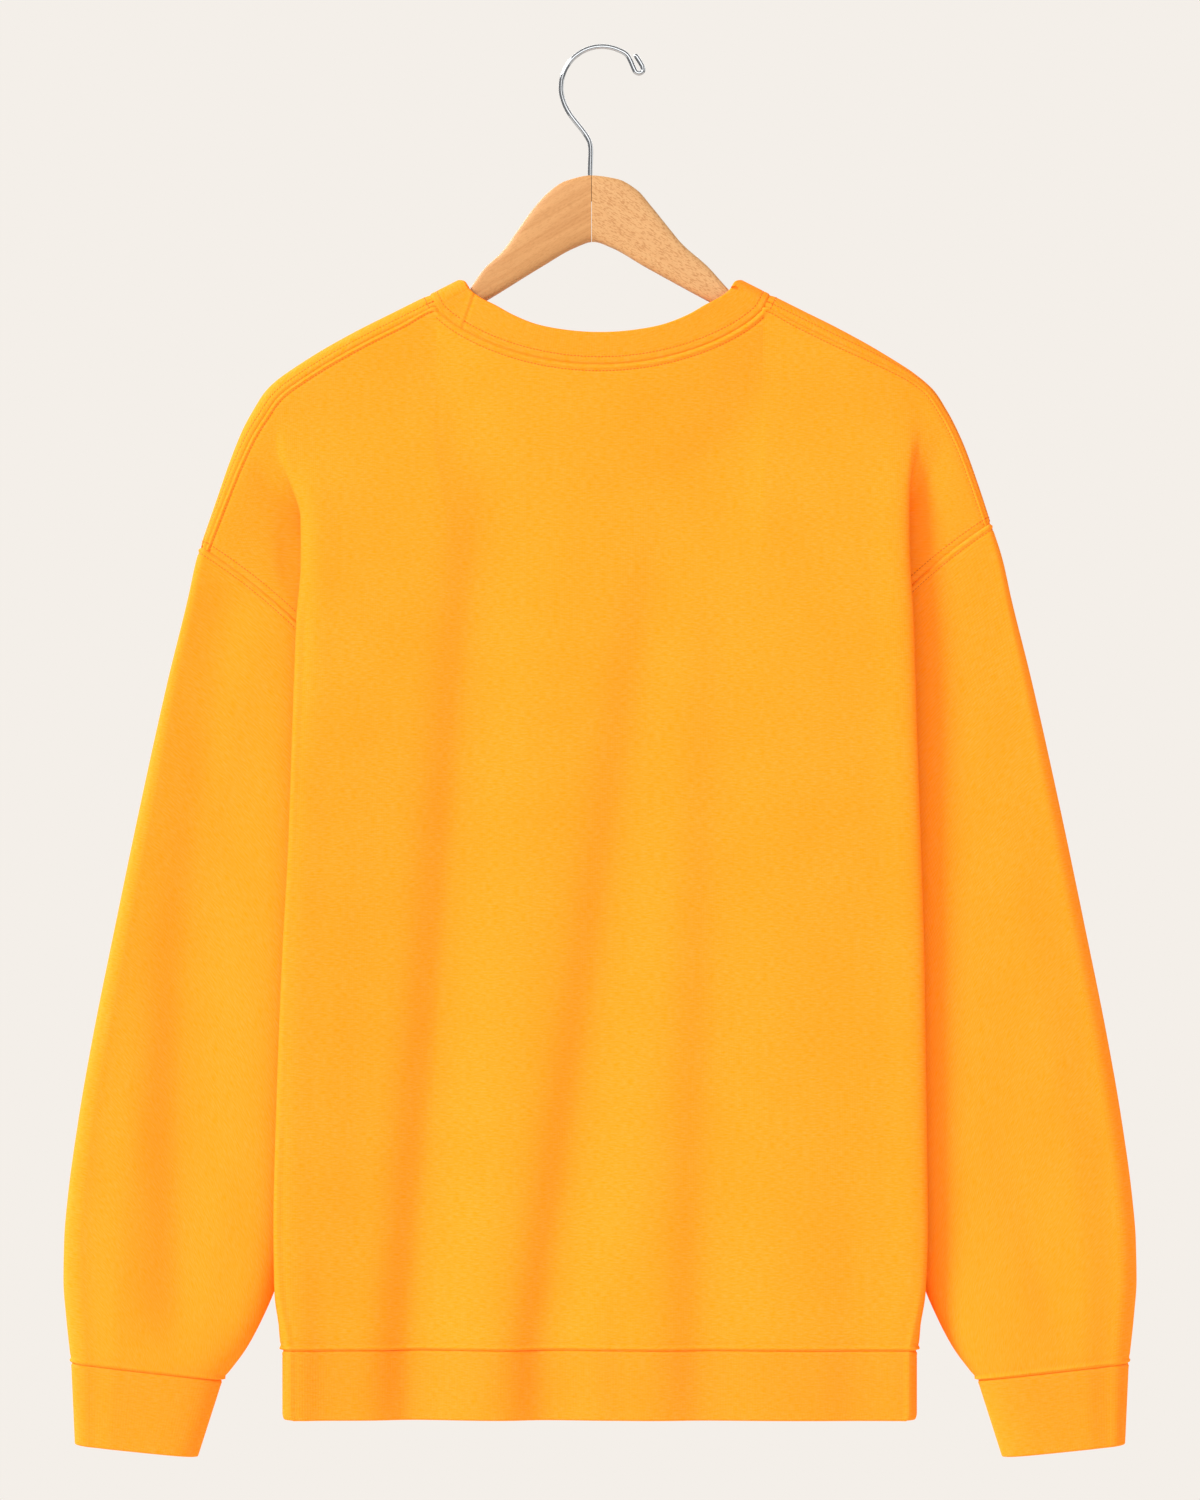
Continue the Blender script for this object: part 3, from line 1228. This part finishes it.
def tube_faces(rings: int, sides: int, turned: bool) -> list[list[int]]:
    """Return the faces of a closed tube: a band of quads between rings, and a cap at each end."""
    faces = []
    for k in range(rings - 1):
        for n in range(sides):
            a, b = k * sides + n, k * sides + (n + 1) % sides
            faces.append([a, b, b + sides, a + sides])
    faces.append(list(range(sides))[::-1])
    faces.append(list(range((rings - 1) * sides, rings * sides)))
    return [face[::-1] for face in faces] if turned else faces


@dataclass
class Hook:
    """The wire hook: stem, slant, round arch and a turned-back tip."""

    radius: float = 1.6
    centre: float = 1.3
    arch: float = 27.4
    stem: float = -6.6
    foot: float = -101.0
    stem_top: float = -64.0
    tip = (
        (22.7, 0.0, -13.2), (23.9, 0.0, -15.4), (26.4, 0.0, -16.3),
        (28.6, 0.0, -14.9), (28.6, 0.0, -12.4), (24.3, 0.0, -4.9),
    )
    # The arch in degrees: start, end and step
    arch_turn: tuple[int, int, int] = (192, 51, -14)
    # Knots of the slant, to the left of the stem and above its top
    slant: tuple[tuple[float, float], ...] = ((2.4, 5.5), (15.0, 22.5))
    sides: int = 24
    fill: int = 9

    def path(self) -> np.ndarray:
        """Return the wire's centre line."""
        centre_z = self.radius - self.arch
        knots = [
            (self.stem, 0, self.foot),
            (self.stem, 0, (self.foot + self.stem_top) / 2),
            (self.stem, 0, self.stem_top),
            *((self.stem - left, 0, self.stem_top + up) for left, up in self.slant),
        ]
        for degrees in range(*self.arch_turn):
            angle = math.radians(degrees)
            x, z = self.arch * math.cos(angle), self.arch * math.sin(angle)
            knots.append((self.centre + x, 0, centre_z + z))
        knots += self.tip
        return spline(np.array([knots], float), [self.fill] * (len(knots) - 1))[0]

    def build(self) -> bpy.types.Object:
        """Make the wire with rounded ends."""
        path = self.path()
        tangent = unit(np.gradient(path, axis=0))
        side = np.array([0.0, 1.0, 0.0])
        across = unit(np.cross(side, tangent))
        caps = np.array([0.15, 0.5, 0.8, 0.95])
        run = np.sqrt(1 - caps**2) * self.radius
        before = path[:1] - tangent[:1] * run[:, None]
        after = path[-1:] + tangent[-1:] * run[::-1, None]
        centre = np.concatenate([before, path, after])
        across = np.concatenate([np.repeat(across[:1], 4, 0), across, np.repeat(across[-1:], 4, 0)])
        size = np.concatenate([caps, np.ones(len(path)), caps[::-1]]) * self.radius
        angle = 2 * np.pi * np.arange(self.sides) / self.sides
        ring = np.cos(angle)[None, :, None] * across[:, None] + np.sin(angle)[None, :, None] * side
        points = (centre[:, None] + ring * size[:, None, None]).reshape(-1, 3) * MM
        return make_object("Hanger_Hook", points, tube_faces(len(centre), self.sides, False))


@dataclass(frozen=True)
class Thread:
    """Stitches laid along rows on the cloth."""

    pitch: float = 2.3
    length: float = 1.75
    radius: float = 0.36
    lift: float = 0.08
    rings: tuple[tuple[float, float], ...] = ((-1.0, 0.45), (-0.72, 1.0), (0.72, 1.0), (1.0, 0.45))
    sides: int = 5

    def stitches(self, row: np.ndarray, normals: np.ndarray) -> tuple[np.ndarray, list[list[int]]]:
        """Return the points and faces of one row of stitches.

        Args:
            row: (n, 3) points of the row, in millimetres.
            normals: (n, 3) the cloth's outward directions there.

        Returns:
            Points in millimetres and loops of point numbers.
        """
        run = run_along(row)
        at = np.arange(self.pitch / 2, run[-1], self.pitch)

        def read(values: np.ndarray, place: np.ndarray) -> np.ndarray:
            """Return a row's values at places along it."""
            return np.stack([np.interp(place, run, values[:, k]) for k in range(3)], -1)

        centre, out = read(row, at), unit(read(normals, at))
        along = unit(read(row, at + self.length / 2) - read(row, at - self.length / 2))
        side = unit(np.cross(out, along))
        out = np.cross(along, side)
        angle = 2 * np.pi * np.arange(self.sides) / self.sides
        points = []
        for place, size in self.rings:
            middle = centre + along * (place * self.length / 2) + out * (self.lift - (place**2) * self.radius)
            for turn in angle:
                points.append(middle + (side * math.cos(turn) + out * math.sin(turn)) * self.radius * size)
        points = np.stack(points, axis=1)
        one = tube_faces(len(self.rings), self.sides, False)
        each = points.shape[1]
        faces = [[corner + k * each for corner in face] for k in range(len(points)) for face in one]
        return points.reshape(-1, 3), faces

    def build(self, name: str, cloths: list[Cloth]) -> bpy.types.Object:
        """Make one mesh of all rows of stitches on some pieces of cloth."""
        points, faces, count = [], [], 0
        for cloth in cloths:
            for row, normals in cloth.rows_of_stitches:
                some, loops = self.stitches(row, normals)
                points.append(some)
                faces += [[corner + count for corner in face] for face in loops]
                count += len(some)
        return make_object(name, np.concatenate(points) * MM, faces)


def linear(colour: str) -> tuple[float, float, float, float]:
    """Return an sRGB hex colour as a linear colour with full alpha."""
    values = [int(colour[k : k + 2], 16) / 255 for k in (1, 3, 5)]
    values = [v / 12.92 if v <= 0.04045 else ((v + 0.055) / 1.055) ** 2.4 for v in values]
    return (*values, 1.0)


def add_node(
    tree: bpy.types.NodeTree, kind: str, settings: dict | None = None, links: dict | None = None
) -> bpy.types.Node:
    """Add a node with its settings and links.

    Args:
        tree: the node tree.
        kind: the node's type.
        settings: values by input name or number, or by property name.
        links: output sockets by input name or number.

    Returns:
        The new node.
    """
    node = tree.nodes.new(kind)
    for name, value in (settings or {}).items():
        if isinstance(name, str) and name not in node.inputs:
            setattr(node, name, value)
    for name, value in (settings or {}).items():
        if not isinstance(name, str) or name in node.inputs:
            node.inputs[name].default_value = value
    for name, source in (links or {}).items():
        tree.links.new(source, node.inputs[name])
    return node


def new_material(name: str) -> tuple[bpy.types.Material, bpy.types.NodeTree]:
    """Return a new material with an empty node tree."""
    material = bpy.data.materials.new(name)
    material.use_nodes = True
    material.node_tree.nodes.clear()
    return material, material.node_tree


def finish_with(tree: bpy.types.NodeTree, settings: dict, links: dict) -> None:
    """Add the principled shader and the output."""
    shader = add_node(tree, "ShaderNodeBsdfPrincipled", settings, links)
    add_node(tree, "ShaderNodeOutputMaterial", None, {"Surface": shader.outputs["BSDF"]})


@dataclass(frozen=True)
class KnitFinish:
    """A knitted cloth: brushed fleece jersey or rib.

    The two colours are a dyed yarn and its paler fibres, so that the cloth has a soft heather
    along its courses. The columns of loops are drawn three times too wide, because real ones
    are finer than the picture can show.
    """

    name: str
    base: str
    pale: str
    deep: str
    wale: float
    wale_height: float
    fuzz: float
    sheen: float
    roughness: float = 0.92

    def build(self) -> bpy.types.Material:
        """Make the material."""
        material, tree = new_material(self.name)
        place = add_node(tree, "ShaderNodeUVMap", {"uv_map": "flat"}).outputs["UV"]
        # Streaks along the courses: far wider than high
        courses = add_node(
            tree,
            "ShaderNodeMapping",
            {"Scale": (220, 1000, 1)},
            {"Vector": place},
        ).outputs["Vector"]
        streaks = add_node(
            tree,
            "ShaderNodeTexNoise",
            {"Scale": 1.0, "Detail": 3.0, "Roughness": 0.6},
            {"Vector": courses},
        )
        patches = add_node(
            tree,
            "ShaderNodeTexNoise",
            {"Scale": 16.0, "Detail": 5.0, "Roughness": 0.55},
            {"Vector": place},
        )
        heather = add_node(
            tree, "ShaderNodeMapRange", {1: 0.3, 2: 0.75, 3: 0.0, 4: 0.6}, {0: streaks.outputs["Fac"]}
        ).outputs["Result"]
        cloud = add_node(
            tree, "ShaderNodeMapRange", {1: 0.36, 2: 0.66, 3: 0.0, 4: 0.16}, {0: patches.outputs["Fac"]}
        ).outputs["Result"]
        dyed = add_node(
            tree,
            "ShaderNodeMix",
            {"data_type": "RGBA", 6: linear(self.base), 7: linear(self.pale)},
            {0: heather},
        ).outputs[2]
        colour = add_node(
            tree,
            "ShaderNodeMix",
            {"data_type": "RGBA", 7: linear(self.deep)},
            {0: cloud, 6: dyed},
        ).outputs[2]
        # Columns of loops run along the cloth, one wave for each
        split = add_node(tree, "ShaderNodeSeparateXYZ", None, {"Vector": place})
        turn = add_node(
            tree,
            "ShaderNodeMath",
            {"operation": "MULTIPLY", 1: 2 * math.pi / (self.wale * MM)},
            {0: split.outputs["X"]},
        ).outputs[0]
        wave = add_node(tree, "ShaderNodeMath", {"operation": "SINE"}, {0: turn}).outputs[0]
        fuzz = add_node(
            tree,
            "ShaderNodeTexNoise",
            {"Scale": 900.0, "Detail": 2.0},
            {"Vector": place},
        ).outputs["Fac"]
        wales = add_node(
            tree, "ShaderNodeBump", {"Strength": 0.6, "Distance": self.wale_height * MM}, {"Height": wave}
        ).outputs["Normal"]
        surface = add_node(
            tree,
            "ShaderNodeBump",
            {"Strength": 0.5, "Distance": self.fuzz * MM},
            {"Height": fuzz, "Normal": wales},
        ).outputs["Normal"]
        finish_with(
            tree,
            {
                "Roughness": self.roughness, "Specular IOR Level": 0.07, "Sheen Weight": self.sheen,
                "Sheen Roughness": 0.45, "Sheen Tint": linear(self.pale),
            },
            {"Base Color": colour, "Normal": surface},
        )
        return material


@dataclass(frozen=True)
class ThreadFinish:
    """Sewing thread, dyed to match: a little darker than the cloth and slightly smoother."""

    name: str = "sewing thread"
    colour: str = "#DB6600"
    roughness: float = 0.6

    def build(self) -> bpy.types.Material:
        """Make the material."""
        material, tree = new_material(self.name)
        settings = {"Base Color": linear(self.colour), "Roughness": self.roughness, "Specular IOR Level": 0.3}
        finish_with(tree, settings, {})
        return material


@dataclass(frozen=True)
class BeechFinish:
    """Lacquered beech: pale ground, darker grain lines along the arm, short flecks, soft gloss."""

    name: str
    ground: str
    grain: str
    fleck: str
    slope: float
    fleck_share: float
    grain_share: float

    def build(self) -> bpy.types.Material:
        """Make the material."""
        material, tree = new_material(self.name)
        place = add_node(tree, "ShaderNodeTexCoord").outputs["Object"]
        # The grain runs down the arm, so the pattern is turned by the arm's slope
        turned = add_node(
            tree,
            "ShaderNodeMapping",
            {"Rotation": (0, self.slope, 0)},
            {"Vector": place},
        ).outputs["Vector"]
        long = add_node(
            tree,
            "ShaderNodeMapping",
            {"Scale": (9, 60, 190)},
            {"Vector": turned},
        ).outputs["Vector"]
        grain = add_node(
            tree,
            "ShaderNodeTexNoise",
            {"Scale": 1.0, "Detail": 5.0, "Roughness": 0.62, "Distortion": 0.6},
            {"Vector": long},
        ).outputs["Fac"]
        lines = add_node(
            tree,
            "ShaderNodeMapRange",
            {1: 0.42, 2: 0.68, 3: 0.0, 4: self.grain_share},
            {0: grain},
        ).outputs["Result"]
        short = add_node(
            tree,
            "ShaderNodeMapping",
            {"Scale": (420, 700, 1500)},
            {"Vector": turned},
        ).outputs["Vector"]
        flecks = add_node(
            tree,
            "ShaderNodeTexNoise",
            {"Scale": 1.0, "Detail": 1.0},
            {"Vector": short},
        ).outputs["Fac"]
        spots = add_node(
            tree,
            "ShaderNodeMapRange",
            {1: 0.5, 2: 0.66, 3: 0.0, 4: self.fleck_share},
            {0: flecks},
        ).outputs["Result"]
        wood = add_node(
            tree,
            "ShaderNodeMix",
            {"data_type": "RGBA", 6: linear(self.ground), 7: linear(self.grain)},
            {0: lines},
        ).outputs[2]
        colour = add_node(
            tree,
            "ShaderNodeMix",
            {"data_type": "RGBA", 7: linear(self.fleck)},
            {0: spots, 6: wood},
        ).outputs[2]
        finish_with(tree, {"Roughness": 0.55, "Specular IOR Level": 0.3}, {"Base Color": colour})
        return material


@dataclass(frozen=True)
class ChromeFinish:
    """Chrome-plated wire: a bright mirror, slightly softened."""

    name: str = "chrome-plated wire"
    colour: str = "#A0A2A4"
    roughness: float = 0.09

    def build(self) -> bpy.types.Material:
        """Make the material."""
        material, tree = new_material(self.name)
        settings = {"Base Color": linear(self.colour), "Metallic": 1.0, "Roughness": self.roughness}
        finish_with(tree, settings, {})
        return material


@dataclass(frozen=True)
class Studio:
    """A plain pale studio: floor, soft light from the upper left and a straight view."""

    background: str = "#F4EFE9"
    ambient: float = 0.43
    floor_z: float = -1.22
    floor_size: float = 4.0
    lens: float = 200.0
    distance: float = 5.583
    look_z: float = -0.4697
    # Each light: name, direction towards it, strength, how wide it looks in degrees
    lights = (
        ("Key", (-0.80, -0.52, 0.56), 3.6, 20.0),
        ("Front_Key", (-0.75, 0.60, 0.50), 2.8, 24.0),
        ("Back_Fill", (0.05, -1.0, 0.12), 0.35, 20.0),
        ("Front_Fill", (-0.05, 1.0, 0.12), 0.35, 20.0),
        ("Rim", (0.92, 0.25, 0.15), 0.8, 40.0),
    )
    # Two boxes above, one before each face, light the shoulders more than the hem
    box_size: tuple[float, float] = (1.8, 0.5)
    box_power: float = 7.5
    box_place: tuple[float, float] = (1.2, 0.5)
    box_aim: float = -0.15

    def build(self) -> None:
        """Make the world, the floor, the lights and the camera."""
        # Colours are shown as they are given, so that the dyed cloth keeps its strength
        bpy.context.scene.view_settings.view_transform = "Standard"
        self.make_world()
        self.make_floor()
        for name, towards, strength, width in self.lights:
            light = bpy.data.lights.new(name, "SUN")
            light.energy, light.angle = strength, math.radians(width)
            obj = bpy.data.objects.new(name, light)
            obj.rotation_euler = Vector(towards).to_track_quat("Z", "Y").to_euler()
            bpy.context.scene.collection.objects.link(obj)
        for side, name in ((-1, "Back_Box"), (1, "Front_Box")):
            light = bpy.data.lights.new(name, "AREA")
            light.shape, light.energy = "RECTANGLE", self.box_power
            light.size, light.size_y = self.box_size
            obj = bpy.data.objects.new(name, light)
            obj.location = (0.0, side * self.box_place[0], self.box_place[1])
            towards = Vector(obj.location) - Vector((0.0, 0.0, self.box_aim))
            obj.rotation_euler = towards.to_track_quat("Z", "Y").to_euler()
            bpy.context.scene.collection.objects.link(obj)
        camera = bpy.data.cameras.new("Camera")
        camera.lens, camera.clip_end = self.lens, 50.0
        obj = bpy.data.objects.new("Camera", camera)
        obj.location = (0.0, -self.distance, self.look_z)
        obj.rotation_euler = (math.pi / 2, 0.0, 0.0)
        bpy.context.scene.collection.objects.link(obj)
        bpy.context.scene.camera = obj

    def make_world(self) -> None:
        """Make an even pale world that lights more gently than it looks."""
        world = bpy.data.worlds.new("Studio")
        world.use_nodes = True
        bpy.context.scene.world = world
        tree = world.node_tree
        tree.nodes.clear()
        seen = add_node(tree, "ShaderNodeBackground", {"Color": linear(self.background), "Strength": 1.0})
        lit = add_node(tree, "ShaderNodeBackground", {"Color": linear("#FFFFFF"), "Strength": self.ambient})
        ray = add_node(tree, "ShaderNodeLightPath").outputs["Is Camera Ray"]
        backgrounds = {1: lit.outputs["Background"], 2: seen.outputs["Background"]}
        both = add_node(tree, "ShaderNodeMixShader", None, {0: ray, **backgrounds})
        add_node(tree, "ShaderNodeOutputWorld", None, {"Surface": both.outputs["Shader"]})

    def make_floor(self) -> None:
        """Make the plain pale floor below the garment."""
        half = self.floor_size / 2
        signs = ((-1, -1), (1, -1), (1, 1), (-1, 1))
        points = np.array([(x * half, y * half, self.floor_z) for x, y in signs])
        floor = make_object("Floor", points, [[0, 1, 2, 3]])
        material, tree = new_material("matt studio paper")
        finish_with(tree, {"Base Color": linear(self.background), "Roughness": 0.9}, {})
        floor.data.materials.append(material)


FLEECE = KnitFinish("brushed fleece jersey", "#FF8A06", "#FFA048", "#FF8000", 1.7, 0.03, 0.1, 0.02)
RIB = KnitFinish("rib knit", "#FF870C", "#FF9A44", "#FF7E04", 1.8, 0.045, 0.06, 0.02)
BEECH_LEFT = BeechFinish(
    "lacquered beech, left half", "#C08C57", "#A8703C", "#9A6331", math.radians(31), 0.25, 0.6
)
BEECH_RIGHT = BeechFinish(
    "lacquered beech, right half", "#C89864", "#BA834E", "#A66E3C", math.radians(-31), 0.7, 0.35
)


def dress(
    obj: bpy.types.Object, material: bpy.types.Material, nodes: tuple[str, ...] = ()
) -> None:
    """Give a piece its material, its body and the CAD nodes that it replaces."""
    obj.data.materials.clear()
    obj.data.materials.append(material)
    if nodes:
        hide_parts(*nodes)
    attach(obj, "root")
    faces = obj.data.polygons
    LOG.info("%s: %d faces, %.4f m2", obj.name, len(faces), sum(face.area for face in faces) / 2)


def build_garment() -> dict[str, tuple[Cloth, bpy.types.Object]]:
    """Build every piece of cloth and the stitches, and return the pieces by name."""
    hang = Hang()
    fleece, rib = FLEECE.build(), RIB.build()
    back = BodyPanel(hang, Face.BACK, "Back")
    front = BodyPanel(hang, Face.FRONT, "Front")
    left, right = Sleeve(hang, Hand.LEFT), Sleeve(hang, Hand.RIGHT)
    cloths = {
        "back_panel": (back.cloth(), fleece, "fleece"),
        "front_panel": (front.cloth(), fleece, "fleece"),
        "sleeve_left": (left.sleeve(), fleece, "fleece"),
        "sleeve_right": (right.sleeve(), fleece, "fleece"),
        "cuff_left": (left.cuff(), rib, "rib"),
        "cuff_right": (right.cuff(), rib, "rib"),
        "collar_rib": (Collar(hang).cloth(), rib, "rib"),
        "hem_rib": (HemBand(hang).cloth(back.sheet()[-1], front.sheet()[-1]), rib, "rib"),
    }
    pieces = {}
    for node, (cloth, material, slot) in cloths.items():
        obj = cloth.build()
        dress(obj, material, (node,))
        pieces[node] = (cloth, obj)
    return pieces


def sew_stitches(pieces: dict[str, tuple[Cloth, bpy.types.Object]]) -> dict[str, bpy.types.Object]:
    """Lay the stitches on the pieces, one mesh for each piece of cloth."""
    material = ThreadFinish().build()
    thread = Thread()
    out = {}
    for node, (cloth, obj) in pieces.items():
        if cloth.rows_of_stitches:
            stitches = thread.build(f"{obj.name}_Stitches", [cloth])
            dress(stitches, material)
            out[node] = stitches
    return out


def build_hanger() -> None:
    """Build the two wooden arms and the hook."""
    hook = Hook()
    arms = HangerArms().build(hook)
    dress(arms[Hand.LEFT], BEECH_LEFT.build(), ("hanger_arm_left",))
    dress(arms[Hand.RIGHT], BEECH_RIGHT.build(), ("hanger_arm_right",))
    dress(hook.build(), ChromeFinish().build(), ("hanger_hook",))


def main() -> None:
    """Build the garment, its hanger and the studio."""
    logging.basicConfig(level=logging.INFO, format="%(name)s: %(message)s")
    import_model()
    pieces = build_garment()
    stitches = sew_stitches(pieces)
    build_hanger()
    Studio().build()
    bpy.context.view_layer.update()


if __name__ == "__main__":
    main()
